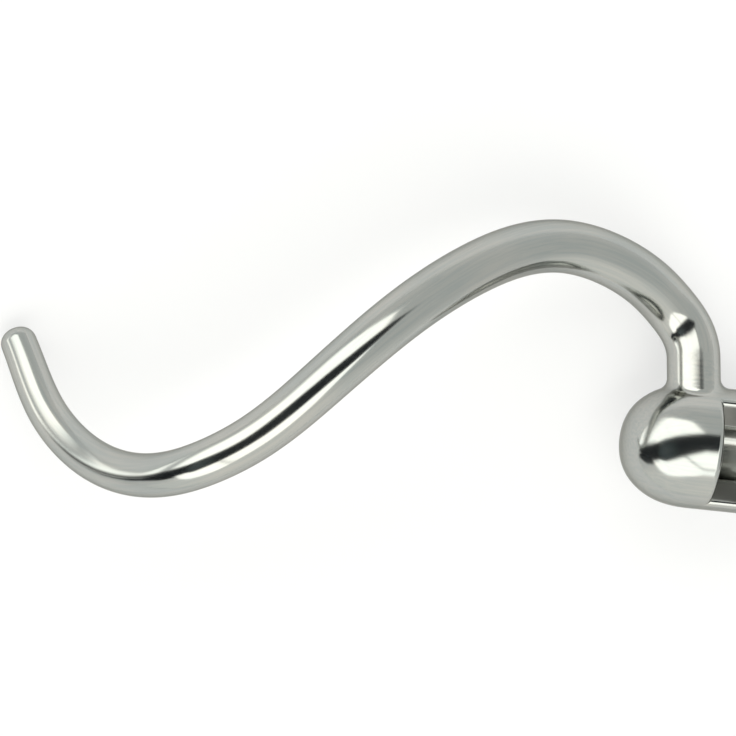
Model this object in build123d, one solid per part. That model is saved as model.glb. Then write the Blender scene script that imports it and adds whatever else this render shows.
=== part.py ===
from build123d import *
import math
import os

# A dough hook for a stand mixer, one casting, lying on a table as it comes to rest.
# X runs along the drive shaft, from the hub's nose to its rim, Y out to the arm's crown, Z up.

# Hub
hub_diameter = 26.6
nose_length = 16.0
nose_cheek_along, nose_cheek_out = 4.9, 10.2
barrel_length = 16.0

# Socket for the drive shaft
shaft_diameter = 12.7
shaft_clearance = 0.2
socket_depth = 22.0
socket_cone = 2.5
mouth_chamfer = 0.8

# Bayonet slot for the shaft's cross pin, with its sweep as an angle round the shaft
pin_diameter = 5.6
pin_clearance = 0.8
slot_setback = 5.8
slot_sweep = 111.0
slot_gap = 0.6
lip_round = 1.2

# Arm
neck_diameter = 11.6
tip_diameter = 7.7
taper_power = 1.8
tip_round = 3.0
root_round = 2.2
section_count = 12

# The arm's root inside the hub, and its neck: along the shaft from the nose, out, and up
root_along, root_out, root_lift = 15.2, 6.0, 0.9
neck_along, neck_reach, neck_height = -1.0, 5.3, 8.9

# Stations on the arm's centre line, each in steps from the one before: along the shaft, out, and up
heel_along, heel_out, heel_up = -1.8, 5.3, -2.5
shoulder_along, shoulder_out = -3.8, 4.3
rise_along, rise_out, rise_up = -8.4, 6.4, 3.1
crown_along, crown_out, crown_up = -17.3, 5.7, 5.4
flank_along, flank_out, flank_up = -22.1, -4.8, 13.0
climb_along, climb_out, climb_up = -17.5, -11.7, 10.7
belly_along, belly_out, belly_up = -13.8, -13.7, 4.7
crest_along, crest_out, crest_up = -13.1, -12.9, 0.8
dive_along, dive_out, dive_up = -9.4, -6.2, -0.5
curl_along, curl_out, curl_up = -8.9, -4.7, -6.9
turn_along, turn_out, turn_up = -11.1, -0.5, -11.2
back_along, back_out, back_up = -10.4, 7.4, -10.9
tip_along, tip_out = -6.8, 11.8

# The hub lies on its side, and the arm's shoulder and tip touch the table with it
hub_radius = hub_diameter / 2
hub_length = nose_length + barrel_length
socket_radius = (shaft_diameter + shaft_clearance) / 2
slot_width = pin_diameter + pin_clearance
slot_start = hub_length - slot_setback - slot_width
shaft_axis = Axis((0, 0, hub_radius), (1, 0, 0))
lower_side = Plane((0, 0, hub_radius), x_dir=(1, 0, 0), z_dir=(0, 1, 0))

root = Vector(root_along, root_out, hub_radius + root_lift)
neck = Vector(root_along + neck_along, hub_radius + neck_reach, neck_height)
heel = neck + Vector(heel_along, heel_out, heel_up)
shoulder = Vector(heel.X + shoulder_along, heel.Y + shoulder_out, neck_diameter / 2)
rise = shoulder + Vector(rise_along, rise_out, rise_up)
crown = rise + Vector(crown_along, crown_out, crown_up)
flank = crown + Vector(flank_along, flank_out, flank_up)
climb = flank + Vector(climb_along, climb_out, climb_up)
belly = climb + Vector(belly_along, belly_out, belly_up)
crest = belly + Vector(crest_along, crest_out, crest_up)
dive = crest + Vector(dive_along, dive_out, dive_up)
curl = dive + Vector(curl_along, curl_out, curl_up)
turn = curl + Vector(turn_along, turn_out, turn_up)
back = turn + Vector(back_along, back_out, back_up)
tip = Vector(back.X + tip_along, back.Y + tip_out, tip_diameter / 2)


def make_body():
    """The hub before it is cut: an egg-shaped nose, and a straight barrel behind it."""
    nose = Spline(
        (0, 0),
        (nose_cheek_along, nose_cheek_out),
        (nose_length, hub_radius),
        tangents=((0, 1), (1, 0)),
    )
    barrel = Polyline((nose_length, hub_radius), (hub_length, hub_radius), (hub_length, 0), (0, 0))
    return revolve(lower_side * make_face(nose + barrel), shaft_axis)


def make_neck():
    """The arm's first stretch, a straight round bar that starts inside the hub."""
    from_root = (Align.CENTER, Align.CENTER, Align.MIN)
    bar = Cylinder(neck_diameter / 2, (neck - root).length, align=from_root)
    return Plane(root, z_dir=neck - root) * bar


def make_arm():
    """The rest of the arm: round sections on a spline, which thin faster as they near the tip."""
    stations = (heel, shoulder, rise, crown, flank, climb, belly, crest, dive, curl, turn, back)
    end_headings = ((neck - root).normalized(), (tip - back).normalized())
    path = Spline(neck, *stations, tip, tangents=end_headings, tangent_scalars=(1, 1))
    sections = []
    for index in range(section_count):
        way = index / (section_count - 1)
        diameter = neck_diameter - (neck_diameter - tip_diameter) * way**taper_power
        heading = path % way
        level = heading.cross(Vector(0, 0, 1))
        sections.append(Plane(path @ way, x_dir=level, z_dir=heading) * Circle(diameter / 2))
    return sweep(sections, path=path, multisection=True) + make_tip(path % 1)


def make_tip(heading):
    """The arm's blunt end: a rounded cap on its last section."""
    radius = tip_diameter / 2
    flat = radius - tip_round
    cap = make_face(
        RadiusArc((radius, 0), (flat, tip_round), -tip_round)
        + Polyline((flat, tip_round), (0, tip_round), (0, 0), (radius, 0))
    )
    turned = revolve(Plane.XZ * cap, Axis.Z)
    return Plane(tip, z_dir=heading) * turned


def find_slot_end():
    """How far round from straight up the slot goes: its lip stops a gap short of the root fillet."""
    way_out = (root + neck) / 2
    arm_turn = math.atan2(way_out.Y, way_out.Z - hub_radius)
    filleted_radius = neck_diameter / 2 + root_round
    half_width = math.sqrt(max(filleted_radius**2 - (slot_start - root_along) ** 2, 0))
    kept_wall = (lip_round + slot_gap) / hub_radius
    return math.degrees(arm_turn - math.asin(half_width / hub_radius) - kept_wall)


def make_slot():
    """The cross pin's way: an arc round the hub's upper side, and a leg from its end to the rim."""
    slot_end = find_slot_end()
    strip = Pos(slot_start + slot_width / 2, -hub_radius) * Rectangle(slot_width, hub_diameter)
    arc = revolve((lower_side * strip).rotate(shaft_axis, -slot_end), shaft_axis, slot_sweep)
    leg_turn = slot_sweep - slot_end - math.degrees(math.asin(slot_width / hub_diameter))
    leg = Box(hub_length, slot_width, hub_diameter, align=(Align.MIN, Align.CENTER, Align.MIN))
    return arc + (Pos(slot_start, 0, hub_radius) * leg).rotate(shaft_axis, leg_turn)


def make_socket():
    """The blind hole for the drive shaft, with a drilled cone at its end and a chamfered mouth."""
    bottom = hub_length - socket_depth
    outline = Polyline(
        (bottom - socket_cone, 0),
        (bottom, socket_radius),
        (hub_length - mouth_chamfer, socket_radius),
        (hub_length, socket_radius + mouth_chamfer),
        (hub_length, 0),
        close=True,
    )
    return revolve(lower_side * make_face(outline), shaft_axis)


def is_lip(edge):
    """Whether an edge is a line or an arc of the barrel's outer wall, clear of the nose."""
    middle = edge @ 0.5
    from_shaft = math.hypot(middle.Y, middle.Z - hub_radius)
    on_wall = math.isclose(from_shaft, hub_radius, rel_tol=1e-6)
    plain = edge.geom_type in (GeomType.LINE, GeomType.CIRCLE)
    return plain and on_wall and middle.X > (nose_length + slot_start) / 2


def make_hook():
    """The whole casting: the neck filleted into the hub, the slot cut, the arm and the socket."""
    body = make_body()
    bar = make_neck()
    joined = body + bar
    joined = fillet(new_edges(body, bar, combined=joined), root_round)
    slotted = joined - make_slot()
    # The lowest such edge is the seam of the barrel's wall, which stays as it is
    lips = slotted.edges().filter_by(is_lip).sort_by(Axis.Z)[1:]
    return fillet(lips, lip_round) + make_arm() - make_socket()


hook = make_hook()
extent = hook.bounding_box()
hook = Pos(-extent.center().X, -extent.center().Y, -extent.min.Z) * hook

os.makedirs("parts", exist_ok=True)
export_step(hook, "parts/dough_hook.step")
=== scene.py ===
import math

import bmesh
import bpy
import numpy as np
from mathutils import Matrix, Vector


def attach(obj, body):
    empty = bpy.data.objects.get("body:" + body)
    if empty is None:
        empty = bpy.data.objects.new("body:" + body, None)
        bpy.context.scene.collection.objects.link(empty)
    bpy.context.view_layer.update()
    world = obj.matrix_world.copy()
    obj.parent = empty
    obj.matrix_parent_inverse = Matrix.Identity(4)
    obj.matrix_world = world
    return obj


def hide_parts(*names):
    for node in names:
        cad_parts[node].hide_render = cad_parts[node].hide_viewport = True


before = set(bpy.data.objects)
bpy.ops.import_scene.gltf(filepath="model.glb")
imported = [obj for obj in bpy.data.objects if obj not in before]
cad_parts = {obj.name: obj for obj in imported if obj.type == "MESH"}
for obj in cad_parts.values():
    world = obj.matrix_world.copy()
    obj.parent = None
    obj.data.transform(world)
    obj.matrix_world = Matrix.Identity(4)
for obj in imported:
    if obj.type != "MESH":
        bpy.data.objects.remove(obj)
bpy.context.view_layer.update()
scene = bpy.context.scene
scene.view_settings.view_transform = "Standard"
print("frame loaded")

mm = 0.001
tiny = 1e-9  # keeps a division off zero
noseAt = np.array((50.9895, -13.3694, 0.1156))  # the table under the hub's nose, in the frame's millimetres


# shader maths: a wrapped socket takes + - * and ** and gives a wrapped socket back
class Wire:
    def __init__(self, tree, socket=None):
        self.tree, self.socket = tree, socket

    def node(self, kind, settings=None, inputs=None, output=0):
        made = self.tree.nodes.new(kind)
        for name, value in (settings or {}).items():
            setattr(made, name, value)
        for key, value in (inputs or {}).items():
            if isinstance(value, Wire):
                self.tree.links.new(value.socket, made.inputs[key])
            else:
                made.inputs[key].default_value = value
        return Wire(self.tree, made.outputs[output])

    def into(self, socket):
        self.tree.links.new(self.socket, socket)

    def maths(self, operation, left, right=0.0):
        return self.node("ShaderNodeMath", {"operation": operation}, {0: left, 1: right})

    def __add__(self, other): return self.maths("ADD", self, other)
    def __radd__(self, other): return self.maths("ADD", other, self)
    def __sub__(self, other): return self.maths("SUBTRACT", self, other)
    def __rsub__(self, other): return self.maths("SUBTRACT", other, self)
    def __mul__(self, other): return self.maths("MULTIPLY", self, other)
    def __rmul__(self, other): return self.maths("MULTIPLY", other, self)
    def __pow__(self, other): return self.maths("POWER", self, other)
    def __rpow__(self, other): return self.maths("POWER", other, self)


def newMaterial(name):
    material = bpy.data.materials.new(name)
    material.use_nodes = True
    return material, material.node_tree.nodes["Principled BSDF"], Wire(material.node_tree)


def axisOf(spot, axis):
    return spot.node("ShaderNodeSeparateXYZ", None, {0: spot}, output=axis)


def fade(value, start, end):  # 0 at the start, 1 at the end, smooth between them
    return value.node("ShaderNodeMapRange", {"interpolation_type": "SMOOTHSTEP"},
                      {"Value": value, "From Min": start, "From Max": end})


def mixColours(share, first, second):  # sockets 6 and 7 are the Mix node's colours
    return share.node("ShaderNodeMix", {"data_type": "RGBA"},
                      {"Factor": share, 6: first, 7: second}, output=2)


# polished steel of the whole hook, duller where no wheel reaches: in the socket and the slot, which also get
# a darker colour there as painted shade in these hollows
steel = {
    "cool": (0.41, 0.43, 0.415, 1),
    "warm": (0.475, 0.473, 0.445, 1),
    # the darker colour of the slot and socket: duller steel, and painted shade in these hollows
    "dullAndPaintedShade": (0.25, 0.25, 0.235, 1),
    "edgeTint": (0.5, 0.5, 0.48, 1),
    "roughness": 0.09,
    "patchRoughness": 0.05,
    "lineRoughness": 0.05,
    "dullRoughness": 0.24,
    "patchScale": 55.0,  # cloudy patches, per metre
    "patchDetail": 3.0,
    "patchFade": (0.35, 0.65),
    "waveScale": 120.0,  # slight waviness left by the wheel
    "waveDetail": 1.0,
    "waveHeight": 0.00003,
    "lineScale": (70, 1700, 1700),  # polishing lines, along the grain and across it
    "lineDetail": 2.0,
    "lineFade": (0.38, 0.62),
    "lineTone": 0.5,  # share of the lines in the colour, the rest is patches
    "lineHeight": 0.15,  # against the waves
    "shaft": (-0.01337, 0.01342),  # the shaft's line, Y and Z
    "slotOut": (0.0126, 0.0118),  # out from that line, where the slot starts to be dull and painted dark, and where it is fully so
    "slotAlong": (0.0689, 0.0695),
    "socketOut": (0.0072, 0.0067),
    "socketAlong": (0.0560, 0.0570),
    "socketShare": 0.1,  # the socket is duller and painted darker than the outside, but less than the slot
}


def makeSteel():
    material, shader, make = newMaterial("polishedSteel")

    def noise(place, scale, detail):
        return make.node("ShaderNodeTexNoise", None, {"Vector": place, "Scale": scale, "Detail": detail})

    spot = make.node("ShaderNodeTexCoord", output="Object")
    grain = make.node("ShaderNodeAttribute", {"attribute_name": "grain"}, output="Vector")
    stretched = make.node("ShaderNodeMapping", None, {"Vector": grain, "Scale": steel["lineScale"]})
    lines = noise(stretched, 1.0, steel["lineDetail"])
    patches = noise(spot, steel["patchScale"], steel["patchDetail"])
    waves = noise(spot, steel["waveScale"], steel["waveDetail"])

    x, y, z = (axisOf(spot, axis) for axis in "XYZ")
    out = ((y - steel["shaft"][0]) ** 2 + (z - steel["shaft"][1]) ** 2) ** 0.5
    slot = fade(out, *steel["slotOut"]) * fade(x, *steel["slotAlong"])
    socket = fade(out, *steel["socketOut"]) * fade(x, *steel["socketAlong"])
    # mask of the hollows: rougher there, and darker in colour as painted shade
    dullAndPaintedShade = make.maths("MAXIMUM", slot, socket) * (1 - socket * (1 - steel["socketShare"]))

    tone = (fade(patches, *steel["patchFade"]) * (1 - steel["lineTone"])
            + fade(lines, *steel["lineFade"]) * steel["lineTone"])
    bright = mixColours(tone, steel["cool"], steel["warm"])
    # painted shade: the darker colour in the slot and the socket
    colour = mixColours(dullAndPaintedShade, bright, steel["dullAndPaintedShade"])
    roughness = (steel["roughness"] + patches * steel["patchRoughness"] + lines * steel["lineRoughness"]
                 + dullAndPaintedShade * steel["dullRoughness"])
    height = waves + lines * steel["lineHeight"]
    bump = make.node("ShaderNodeBump", None,
                     {"Strength": 1.0, "Distance": steel["waveHeight"], "Height": height})
    colour.into(shader.inputs["Base Color"])
    roughness.into(shader.inputs["Roughness"])
    bump.into(shader.inputs["Normal"])
    shader.inputs["Metallic"].default_value = 1
    shader.inputs["Specular Tint"].default_value = steel["edgeTint"]
    return material


polishedSteel = makeSteel()
print("steel made")

# the arm: millimetres along the shaft from the nose, out from it and up from the table
arm = {
    "root": (15.2, 6.0, 14.2),
    "stations": (
        (14.2, 18.6, 8.9), (12.4, 23.9, 6.4), (8.6, 28.2, 5.8), (0.2, 34.6, 8.9),
        (-17.1, 40.3, 14.3), (-39.2, 35.5, 27.3), (-56.7, 23.8, 38.0), (-70.5, 10.1, 42.7),
        (-83.6, -2.8, 43.5), (-93.0, -9.0, 43.0), (-101.9, -13.7, 36.1), (-113.0, -14.2, 24.9),
        (-123.4, -6.8, 14.0), (-130.2, 5.0, 3.85),
    ),
    "neckDiameter": 11.6,
    "tipDiameter": 7.7,
    "taperPower": 1.8,
    "tipRound": 3.0,
    "pathSteps": 64,  # between two stations
    "rings": 420,
    "sides": 80,
    "capRings": 14,
}
stations = np.array(arm["stations"])
neckLine = stations[0] - np.array(arm["root"])
neckLine /= np.linalg.norm(neckLine)
tipLine = stations[-1] - stations[-2]
tipLine /= np.linalg.norm(tipLine)


def findSlopes(points, first, last):  # slopes of the smooth curve through the points, by chord length
    spans = np.linalg.norm(np.diff(points, axis=0), axis=1)
    count = len(points)
    weights, target = np.eye(count), np.zeros((count, 3))
    target[0], target[-1] = first, last
    for i in range(1, count - 1):
        before, after = spans[i - 1], spans[i]
        weights[i, i - 1:i + 2] = after, 2 * (before + after), before
        rise = (points[i] - points[i - 1]) / before * after + (points[i + 1] - points[i]) / after * before
        target[i] = 3 * rise
    return np.linalg.solve(weights, target), spans


def makePath():
    slopes, spans = findSlopes(stations, neckLine, tipLine)
    curve = bpy.data.curves.new("armPath", "CURVE")
    curve.dimensions = "3D"
    curve.resolution_u = arm["pathSteps"]
    spline = curve.splines.new("BEZIER")
    spline.bezier_points.add(len(stations) - 1)
    spans = np.concatenate((spans[:1], spans, spans[-1:]))
    for i, point in enumerate(spline.bezier_points):
        point.handle_left_type = point.handle_right_type = "FREE"
        point.co = stations[i]
        point.handle_left = stations[i] - slopes[i] * spans[i] / 3
        point.handle_right = stations[i] + slopes[i] * spans[i + 1] / 3
    path = bpy.data.objects.new("armPath", curve)
    scene.collection.objects.link(path)
    return path


def buildArmTree():  # a round bar along the path, which thins faster as it nears its end
    tree = bpy.data.node_groups.new("armSweep", "GeometryNodeTree")
    sockets = (
        ("Path", "NodeSocketGeometry"), ("Neck Radius", "NodeSocketFloat"), ("Tip Radius", "NodeSocketFloat"),
        ("Taper Power", "NodeSocketFloat"), ("Rings", "NodeSocketInt"), ("Sides", "NodeSocketInt"),
        ("Finish", "NodeSocketMaterial"),
    )
    for name, kind in sockets:
        tree.interface.new_socket(name, in_out="INPUT", socket_type=kind)
    tree.interface.new_socket("Arm", in_out="OUTPUT", socket_type="NodeSocketGeometry")
    make = Wire(tree)
    source = tree.nodes.new("NodeGroupInput")
    given = {socket.name: Wire(tree, socket) for socket in source.outputs if socket.name}
    neckRadius, tipRadius = given["Neck Radius"], given["Tip Radius"]
    way = make.node("GeometryNodeSplineParameter")
    radius = neckRadius - (neckRadius - tipRadius) * way ** given["Taper Power"]
    line = make.node("GeometryNodeResampleCurve", {"mode": "COUNT"},
                     {"Curve": given["Path"], "Count": given["Rings"]})
    ring = make.node("GeometryNodeCurvePrimitiveCircle", {"mode": "RADIUS"},
                     {"Resolution": given["Sides"], "Radius": 1.0})
    bar = make.node("GeometryNodeCurveToMesh", None,
                    {"Curve": line, "Profile Curve": ring, "Scale": radius, "Fill Caps": False})
    smooth = make.node("GeometryNodeSetShadeSmooth", None, {"Geometry": bar})
    real = make.node("GeometryNodeRealizeInstances", None, {"Geometry": smooth})
    done = make.node("GeometryNodeSetMaterial", None, {"Geometry": real, "Material": given["Finish"]})
    done.into(tree.nodes.new("NodeGroupOutput").inputs[0])
    return tree


def meshSpots(mesh):
    spots = np.empty(len(mesh.vertices) * 3)
    mesh.vertices.foreach_get("co", spots)
    return spots.reshape(-1, 3)


def sweepArm():
    path = makePath()
    sweep = path.modifiers.new("armSweep", "NODES")
    sweep.node_group = buildArmTree()
    values = {
        "Neck Radius": arm["neckDiameter"] / 2, "Tip Radius": arm["tipDiameter"] / 2,
        "Taper Power": arm["taperPower"], "Rings": arm["rings"], "Sides": arm["sides"],
        "Finish": polishedSteel,
    }
    for socket in sweep.node_group.interface.items_tree:
        if socket.in_out == "INPUT" and socket.name in values:
            sweep[socket.identifier] = values[socket.name]
    mesh = bpy.data.meshes.new_from_object(path.evaluated_get(bpy.context.evaluated_depsgraph_get()))
    path.modifiers.remove(sweep)
    spots = meshSpots(mesh)
    bpy.data.objects.remove(path)
    bpy.data.meshes.remove(mesh)
    return spots.reshape(arm["rings"], arm["sides"], 3)


def roundTip(rings):  # more rings over the blunt end, and each ring's outward directions
    radius, rounded = arm["tipDiameter"] / 2, arm["tipRound"]
    middles = rings.mean(axis=1)
    aims = rings - middles[:, None]
    sizes = np.linalg.norm(aims, axis=2, keepdims=True)
    aims /= sizes
    steps = np.linalg.norm(np.diff(middles, axis=0), axis=1)
    thinning = np.gradient(sizes.mean(axis=(1, 2)), np.concatenate(([0], np.cumsum(steps))))
    heading = np.gradient(middles, axis=0)
    heading /= np.linalg.norm(heading, axis=1, keepdims=True)
    facing = aims - thinning[:, None, None] * heading[:, None]
    facing /= np.linalg.norm(facing, axis=2, keepdims=True)
    caps, capFacing = [rings], [facing]
    for i in range(1, arm["capRings"] + 1):
        turn = math.pi / 2 * i / arm["capRings"]
        reach = radius - rounded + rounded * math.cos(turn)
        ring = middles[-1] + reach * aims[-1] + rounded * math.sin(turn) * tipLine
        caps.append(ring[None])
        capFacing.append((math.cos(turn) * aims[-1] + math.sin(turn) * tipLine)[None])
    return np.concatenate(caps), np.concatenate(capFacing)


def straighten(rings):  # where each point would be if the arm were straight, for the polishing lines
    middles = rings.mean(axis=1)
    along = np.concatenate(([0], np.cumsum(np.linalg.norm(np.diff(middles, axis=0), axis=1))))
    turns = np.linspace(0, 2 * math.pi, rings.shape[1], endpoint=False)
    reach = np.linalg.norm(rings - middles[:, None], axis=2)
    along = np.broadcast_to(along[:, None], reach.shape)
    return np.stack((along, reach * np.cos(turns), reach * np.sin(turns)), axis=2)


armRings, armFacing = roundTip(sweepArm())
armGrain = straighten(armRings)
print("arm swept:", armRings.shape[0], "rings")

# the hub, lying along X with its nose at 0, in millimetres
hub = {
    "radius": 13.3,
    "length": 32.0,
    # handles of two Bezier pieces, along and out
    "nose": ((0, 0), (0, 5.224), (2.161, 8.191), (4.9, 10.2), (7.69, 12.246), (11.08, 13.3), (16, 13.3)),
    "noseSteps": 700,
    "boreRadius": 6.45,
    "boreDepth": 22.0,
    "boreCone": 2.5,
    "mouthChamfer": 0.8,
    "slotStart": 19.8,
    "slotWidth": 6.4,
    "slotEnd": 60.863,  # degrees round from straight up, towards the arm
    "slotSweep": 111.0,
    "rootRound": 2.2,
    "lipRound": 1.2,
    "edgeRound": 0.3,
    "sameWall": 0.98,  # cosine of the smallest angle between two walls that is told from none
    "grain": 0.34,  # edge of the hub's small faces
    "passes": 6,  # that draw the small faces onto the skin
    "batch": 4000,  # points measured at a time
    "weld": 1e-6,  # metres, corners of the CAD mesh that count as one
    "slack": 1e-5,  # points that count as on a cut
    "stub": 0.2,  # the CAD arm is cut off this far before the swept arm starts
    "seam": 1.6,  # the fine hub stops this far before it, and is bridged to it
}


def nosePoints(count):
    handles = np.array(hub["nose"], float)
    t = np.linspace(0, 1, count)[:, None]
    pieces = []
    for i in (0, 3):
        a, b, c, d = handles[i:i + 4]
        pieces.append(a * (1 - t) ** 3 + 3 * b * t * (1 - t) ** 2 + 3 * c * t * t * (1 - t) + d * t ** 3)
    points = np.concatenate((pieces[0][:-1], pieces[1]))
    slope = np.gradient(points, axis=0)
    slope /= np.linalg.norm(slope, axis=1, keepdims=True)
    slope[0], slope[-1] = (0, 1), (1, 0)
    return points, np.column_stack((-slope[:, 1], slope[:, 0]))


noseLine, noseFacing = nosePoints(hub["noseSteps"])


# each wall or space below gives the points' distances out of it, and the ways out
def fromShaft(points):
    side = points[:, 1:] - (0, hub["radius"])
    out = np.maximum(np.linalg.norm(side, axis=1), tiny)
    facing = np.zeros_like(points)
    facing[:, 1:] = side / out[:, None]
    return out, facing


def hubWall(points):
    out, facing = fromShaft(points)
    gap = out - hub["radius"]
    nose = np.flatnonzero(points[:, 0] < noseLine[-1, 0])
    for part in np.array_split(nose, max(1, len(nose) // hub["batch"])):
        flat = np.column_stack((points[part, 0], out[part]))
        near = ((flat[:, None] - noseLine[None]) ** 2).sum(axis=2).argmin(axis=1)
        gap[part] = ((flat - noseLine[near]) * noseFacing[near]).sum(axis=1)
        facing[part] *= noseFacing[near, 1:]
        facing[part, 0] = noseFacing[near, 0]
    return gap, facing


def neckWall(points):
    away = points - np.array(arm["root"])
    away -= np.maximum(away @ neckLine, 0)[:, None] * neckLine
    size = np.maximum(np.linalg.norm(away, axis=1), tiny)
    return size - arm["neckDiameter"] / 2, away / size[:, None]


def flatWalls(points, walls):  # a space with flat sides: each is its facing and a point on it
    facings = np.array([facing for facing, spot in walls])
    gaps = np.stack([(points - spot) @ facing for facing, spot in walls])
    worst = gaps.argmax(axis=0)
    return gaps[worst, np.arange(len(points))], facings[worst]


def slotSpace(points):
    def around(turn):  # up and sideways, that many degrees round the shaft towards the arm
        turn = math.radians(turn)
        return np.array((0, math.sin(turn), math.cos(turn))), np.array((0, math.cos(turn), -math.sin(turn)))

    axis, alongX = np.array((0, 0, hub["radius"])), np.array((1.0, 0, 0))
    start, width = hub["slotStart"], hub["slotWidth"]
    low = hub["slotEnd"] - hub["slotSweep"]
    front = (-alongX, axis + start * alongX)
    arc = flatWalls(points, (
        front,
        (alongX, axis + (start + width) * alongX),
        (around(hub["slotEnd"])[1], axis),
        (-around(low)[1], axis),
    ))
    up, side = around(low + math.degrees(math.asin(width / 2 / hub["radius"])))
    leg = flatWalls(points, (
        front,
        (side, axis + side * width / 2),
        (-side, axis - side * width / 2),
        (-up, axis),
    ))
    return nearer(arc, leg)


def socketSpace(points):
    out, facing = fromShaft(points)
    radius, cone = hub["boreRadius"], hub["boreCone"]
    bottom = hub["length"] - hub["boreDepth"]
    slant = math.hypot(radius, cone)
    coneGap = (cone * out - radius * (points[:, 0] - bottom + cone)) / slant
    coneFacing = facing * cone / slant - np.array((radius / slant, 0, 0))
    bore = farther((out - radius, facing), (coneGap, coneFacing))
    flare = points[:, 0] - hub["length"] + hub["mouthChamfer"]
    mouth = ((out - radius - flare) / math.sqrt(2), (facing - np.array((1.0, 0, 0))) / math.sqrt(2))
    return nearer(bore, mouth)


def nearer(first, second):
    pick = first[0] < second[0]
    return np.where(pick, first[0], second[0]), np.where(pick[:, None], first[1], second[1])


def inverse(space):
    return -space[0], -space[1]


def farther(first, second):
    return inverse(nearer(inverse(first), inverse(second)))


def keepRounded(first, second, rounding):  # what is inside both, with its edge rounded
    gap, facing = farther(first, second)
    lean = (first[1] * second[1]).sum(axis=1).clip(-hub["sameWall"], hub["sameWall"])
    u, v = first[0] + rounding, second[0] + rounding
    a, b = (u - lean * v) / (1 - lean ** 2), (v - lean * u) / (1 - lean ** 2)
    aim = a[:, None] * first[1] + b[:, None] * second[1]
    size = np.maximum(np.linalg.norm(aim, axis=1), tiny)
    edge = (a > 0) & (b > 0)
    return np.where(edge, size - rounding, gap), np.where(edge[:, None], aim / size[:, None], facing)


def hubSkin(points):
    body = inverse(keepRounded(inverse(hubWall(points)), inverse(neckWall(points)), hub["rootRound"]))
    body = keepRounded(body, inverse(slotSpace(points)), hub["lipRound"])
    body = keepRounded(body, inverse(socketSpace(points)), hub["edgeRound"])
    rim = points[:, 0] - hub["length"], np.tile((1.0, 0, 0), (len(points), 1))
    return keepRounded(body, rim, hub["edgeRound"])


def keepHub(work, offset):  # cuts the arm off across its neck and keeps what is joined to the rim
    cut = stations[0] - offset * neckLine
    everything = work.verts[:] + work.edges[:] + work.faces[:]
    bmesh.ops.bisect_plane(work, geom=everything, dist=hub["slack"], plane_co=cut, plane_no=neckLine,
                           clear_outer=True)
    seen = [max(work.verts, key=lambda vertex: vertex.co.x)]
    kept = set(seen)
    while seen:
        for edge in seen.pop().link_edges:
            for vertex in edge.verts:
                if vertex not in kept:
                    kept.add(vertex)
                    seen.append(vertex)
    bmesh.ops.delete(work, geom=[vertex for vertex in work.verts if vertex not in kept], context="VERTS")


def makeHub():  # small even faces over the CAD hub, drawn onto its exact skin
    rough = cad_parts["dough_hook"].data.copy()
    work = bmesh.new()
    work.from_mesh(rough)
    bmesh.ops.remove_doubles(work, verts=work.verts, dist=hub["weld"])
    bmesh.ops.scale(work, vec=(1 / mm, 1 / mm, 1 / mm), verts=work.verts)
    bmesh.ops.translate(work, vec=-noseAt, verts=work.verts)
    keepHub(work, hub["stub"])
    bmesh.ops.holes_fill(work, edges=[edge for edge in work.edges if edge.is_boundary])
    bmesh.ops.triangulate(work, faces=work.faces)
    work.to_mesh(rough)
    work.free()
    block = bpy.data.objects.new("hubBlock", rough)
    scene.collection.objects.link(block)
    fine = block.modifiers.new("fine", "REMESH")
    fine.mode, fine.voxel_size = "VOXEL", hub["grain"]
    mesh = bpy.data.meshes.new_from_object(block.evaluated_get(bpy.context.evaluated_depsgraph_get()))
    bpy.data.objects.remove(block)
    spots = meshSpots(mesh)
    for _ in range(hub["passes"]):
        gap, facing = hubSkin(spots)
        spots -= gap[:, None] * facing
    mesh.vertices.foreach_set("co", spots.ravel())
    print("hub skin:", len(spots), "points, off by", round(float(np.abs(hubSkin(spots)[0]).max()), 4))
    return mesh


def addArm(work, way, grain):  # the swept rings, closed at the tip
    rows = []
    for ring, facings, grains in zip(armRings, armFacing, armGrain * mm):
        rows.append([work.verts.new(spot) for spot in ring])
        for vertex, facing, place in zip(rows[-1], facings, grains):
            vertex[way], vertex[grain] = facing, place
    for here, there in zip(rows, rows[1:]):
        for i in range(len(here)):
            j = (i + 1) % len(here)
            work.faces.new((here[i], here[j], there[j], there[i]))
    last = rows[-1]
    middle = work.verts.new(armRings[-1].mean(axis=0))
    middle[way], middle[grain] = tipLine, last[0][grain]
    for i in range(len(last)):
        work.faces.new((last[i], last[(i + 1) % len(last)], middle))


def makeHook():
    mesh = makeHub()
    work = bmesh.new()
    work.from_mesh(mesh)
    keepHub(work, hub["seam"])
    way = work.verts.layers.float_vector.new("facing")
    grain = work.verts.layers.float_vector.new("grain")
    hubSpots = np.array([vertex.co[:] for vertex in work.verts])
    for vertex, facing in zip(work.verts, hubSkin(hubSpots)[1]):
        vertex[way], vertex[grain] = facing, vertex.co * mm
    addArm(work, way, grain)
    bmesh.ops.bridge_loops(work, edges=[edge for edge in work.edges if edge.is_boundary])
    bmesh.ops.recalc_face_normals(work, faces=work.faces)
    for face in work.faces:
        face.smooth = True
    bmesh.ops.translate(work, vec=noseAt, verts=work.verts)
    bmesh.ops.scale(work, vec=(mm, mm, mm), verts=work.verts)
    work.to_mesh(mesh)
    print("hook:", sum(len(face.verts) - 2 for face in work.faces), "triangles, open edges:",
          sum(edge.is_boundary for edge in work.edges))
    work.free()
    facing = np.empty(len(mesh.vertices) * 3)
    mesh.attributes["facing"].data.foreach_get("vector", facing)
    mesh.attributes.remove(mesh.attributes["facing"])
    mesh.normals_split_custom_set_from_vertices(facing.reshape(-1, 3).tolist())
    mesh.materials.clear()
    mesh.materials.append(polishedSteel)
    hook = bpy.data.objects.new("doughHook", mesh)
    scene.collection.objects.link(hook)
    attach(hook, "root")
    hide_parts("dough_hook")


makeHook()

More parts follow.
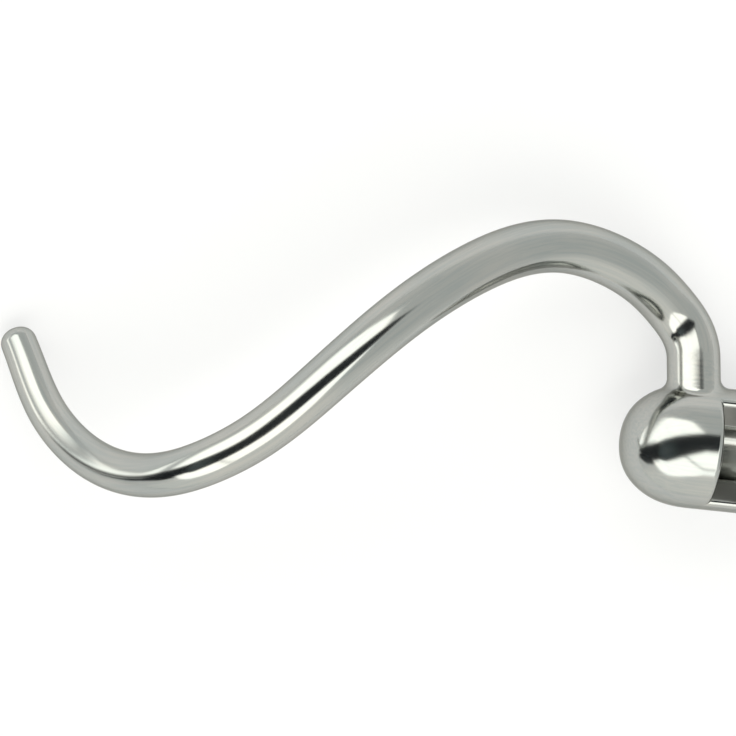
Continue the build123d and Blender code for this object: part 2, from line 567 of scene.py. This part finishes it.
# the camera, at the photograph's angle
cameraLook = {
    "eye": (-0.13713, 0.15499, 0.87913),
    "back": (-0.14781, 0.17854, 0.97277),
    "up": (-0.10681, 0.97494, -0.19516),
    "lens": 204.7,
    "clipEnd": 20.0,
}


def makeCamera():
    back = Vector(cameraLook["back"]).normalized()
    right = Vector(cameraLook["up"]).cross(back).normalized()
    up = back.cross(right)
    data = bpy.data.cameras.new("camera")
    data.lens = cameraLook["lens"]
    data.clip_end = cameraLook["clipEnd"]
    camera = bpy.data.objects.new("camera", data)
    turn = Matrix((right, up, back)).transposed()
    camera.matrix_world = Matrix.Translation(cameraLook["eye"]) @ turn.to_4x4()
    scene.collection.objects.link(camera)
    scene.camera = camera
    return turn


cameraTurn = makeCamera()
print("camera placed")

# paper that glows a little to the camera and in the steel, and still takes the shadow
floorLook = {
    "size": 12.0,
    "colour": (0.95, 0.95, 0.95, 1),
    "roughness": 0.9,
    "glow": 0.55,
    "near": (1.05, 1.05, 1.05, 1),
    "far": (0.84, 0.85, 0.83, 1),
    "fade": (0.12, 0.8),  # metres out from the hook
}


def makeFloor():
    bpy.ops.mesh.primitive_plane_add(size=floorLook["size"])
    floor = bpy.context.object
    floor.name = "floor"
    material, shader, make = newMaterial("floorPaper")
    shader.inputs["Base Color"].default_value = floorLook["colour"]
    shader.inputs["Roughness"].default_value = floorLook["roughness"]
    shader.inputs["Specular IOR Level"].default_value = 0
    paper = Wire(make.tree, shader.outputs[0])
    spot = make.node("ShaderNodeTexCoord", output="Object")
    away = make.node("ShaderNodeVectorMath", {"operation": "LENGTH"}, {0: spot}, output="Value")
    colour = mixColours(fade(away, *floorLook["fade"]), floorLook["near"], floorLook["far"])
    glow = make.node("ShaderNodeEmission", None, {"Color": colour, "Strength": 1.0})
    rays = ("Is Camera Ray", "Is Glossy Ray", "Is Transmission Ray")
    camera, glossy, through = (make.node("ShaderNodeLightPath", output=ray) for ray in rays)
    seen = make.maths("MINIMUM", camera + glossy + through, 1.0)
    mixed = make.node("ShaderNodeMixShader", None, {0: seen * floorLook["glow"], 1: paper, 2: glow})
    mixed.into(make.tree.nodes["Material Output"].inputs["Surface"])
    floor.data.materials.append(material)


makeFloor()
print("floor laid")

# soft light from all round, brighter near the floor and most of all below the camera's view
worldLook = {
    "high": (0.73, 0.755, 0.735, 1),
    "low": (0.84, 0.85, 0.83, 1),
    "lift": 0.35,  # how far up the low colour reaches, as a sine
    "front": (1.08, 1.08, 1.03, 1),
    "frontFade": (-0.3, -0.85),  # against the camera's up
}


def makeWorld(turn):
    world = bpy.data.worlds.new("studio")
    world.use_nodes = True
    make = Wire(world.node_tree)
    look = make.node("ShaderNodeTexCoord", output="Generated")
    lift = fade(axisOf(look, "Z"), 0.0, worldLook["lift"])
    upright = make.node("ShaderNodeVectorMath", {"operation": "DOT_PRODUCT"},
                        {0: look, 1: turn @ Vector((0, 1, 0))}, output="Value")
    around = mixColours(lift, worldLook["low"], worldLook["high"])
    colour = mixColours(fade(upright, *worldLook["frontFade"]), around, worldLook["front"])
    colour.into(make.tree.nodes["Background"].inputs["Color"])
    scene.world = world


makeWorld(cameraTurn)
print("world lit")

# soft panels behind the camera, two bright and two dark, for the streaks on the steel
# places on them are degrees right of the line to the camera and above it, reaches are shares of the distance
panelCentre = (0, 0, 0.02)
panelLook = {
    "upperPanel": {
        "corners": ((-88, -14), (26, 18), (17, 46), (-64, 48)),
        "distance": 2.6, "soft": 0.08,
        "tint": (1, 1, 0.95, 1), "radiance": 2.4,
        "bar": ((-58, 48), (-69, 0)), "barReach": 0.3,
    },
    "lowerPanel": {
        "corners": ((-52, -46), (-40, -57), (22, -54), (36, -40), (35, 0), (-56, -26)),
        "distance": 2.6, "soft": 0.08,
        "tint": (1, 1, 0.95, 1), "radiance": 2.4,
        "bar": ((4, -22), (22, -41)), "barReach": 0.05,
    },
    "darkPanel": {
        "corners": ((-71, -32), (8, -18), (28, -6), (42, 19), (30, 24), (-90, -13)),
        "distance": 2.3, "soft": 0.2,
        "colour": (0.028, 0.032, 0.036, 1),
        "pale": (0.10, 0.12, 0.128, 1), "paleSpot": (-30, -10), "paleReach": 0.6,
    },
    "tailPanel": {
        "corners": ((-46, -29), (-42, 6), (-84, -2), (-88, -11)),
        "distance": 2.3, "soft": 0.24,
        "colour": (0.028, 0.032, 0.036, 1),
    },
}


def lookAlong(across, height):
    across, height = math.radians(across), math.radians(height)
    level = math.cos(height)
    return Vector((math.sin(across) * level, math.sin(height), math.cos(across) * level))


def leftOf(x, y, start, end):  # distance to the left of the line from start to end
    size = math.dist(start, end)
    inX, inY = (start[1] - end[1]) / size, (end[0] - start[0]) / size
    return x * inX + y * inY - (start[0] * inX + start[1] * inY)


def insideShape(x, y, corners, soft):  # 1 within the corners, fading to 0 across their edges
    mask = None
    for start, end in zip(corners, corners[1:] + corners[:1]):
        side = fade(leftOf(x, y, start, end), -soft / 2, soft / 2)
        mask = side if mask is None else mask * side
    return mask


def makePanel(name, turn):
    look = panelLook[name]
    distance = look["distance"]
    looks = [lookAlong(*corner) for corner in look["corners"]]
    away = sum(looks, Vector()).normalized()
    level = Vector((0, 1, 0)).cross(away).normalized()
    upright = away.cross(level)

    def flat(direction):  # where a direction meets the panel
        ahead = direction.dot(away)
        return direction.dot(level) / ahead * distance, direction.dot(upright) / ahead * distance

    corners = [flat(direction) for direction in looks]
    soft = look["soft"] * distance
    left, right = min(x for x, y in corners) - soft, max(x for x, y in corners) + soft
    low, high = min(y for x, y in corners) - soft, max(y for x, y in corners) + soft
    mesh = bpy.data.meshes.new(name)
    mesh.from_pydata([(left, low, 0), (right, low, 0), (right, high, 0), (left, high, 0)], [], [(0, 1, 2, 3)])
    panel = bpy.data.objects.new(name, mesh)
    axes = [turn @ axis for axis in (level, upright, away)]
    panel.matrix_world = Matrix(axes).transposed().to_4x4()
    panel.matrix_world.translation = Vector(panelCentre) + axes[2] * distance
    scene.collection.objects.link(panel)

    material, shader, make = newMaterial(name)
    make.tree.nodes.remove(shader)
    spot = make.node("ShaderNodeTexCoord", output="Object")
    x, y = axisOf(spot, "X"), axisOf(spot, "Y")
    mask = insideShape(x, y, corners, soft)
    if "bar" in look:  # a bar across the panel
        start, end = (flat(lookAlong(*tip)) for tip in look["bar"])
        off = make.maths("ABSOLUTE", leftOf(x, y, start, end))
        mask = mask * fade(off, 0.0, look["barReach"] * distance)
    if "radiance" in look:
        face = make.node("ShaderNodeEmission", None, {"Color": look["tint"], "Strength": look["radiance"]})
    else:
        face = make.node("ShaderNodeBsdfDiffuse", None, {"Color": look["colour"]})
    if "pale" in look:  # paler towards one spot
        paleX, paleY = flat(lookAlong(*look["paleSpot"]))
        off = ((x - paleX) ** 2 + (y - paleY) ** 2) ** 0.5
        near = fade(off, look["paleReach"] * distance, 0.0)
        pale = make.node("ShaderNodeBsdfDiffuse", None, {"Color": look["pale"]})
        face = make.node("ShaderNodeMixShader", None, {0: near, 1: face, 2: pale})
    clear = make.node("ShaderNodeBsdfTransparent")
    shown = make.node("ShaderNodeMixShader", None, {0: mask, 1: clear, 2: face})
    shown.into(make.tree.nodes["Material Output"].inputs["Surface"])
    mesh.materials.append(material)
    panel.visible_camera = False  # it shows in the steel only


for panelName in panelLook:
    makePanel(panelName, cameraTurn)
print("panels hung:", len(panelLook))
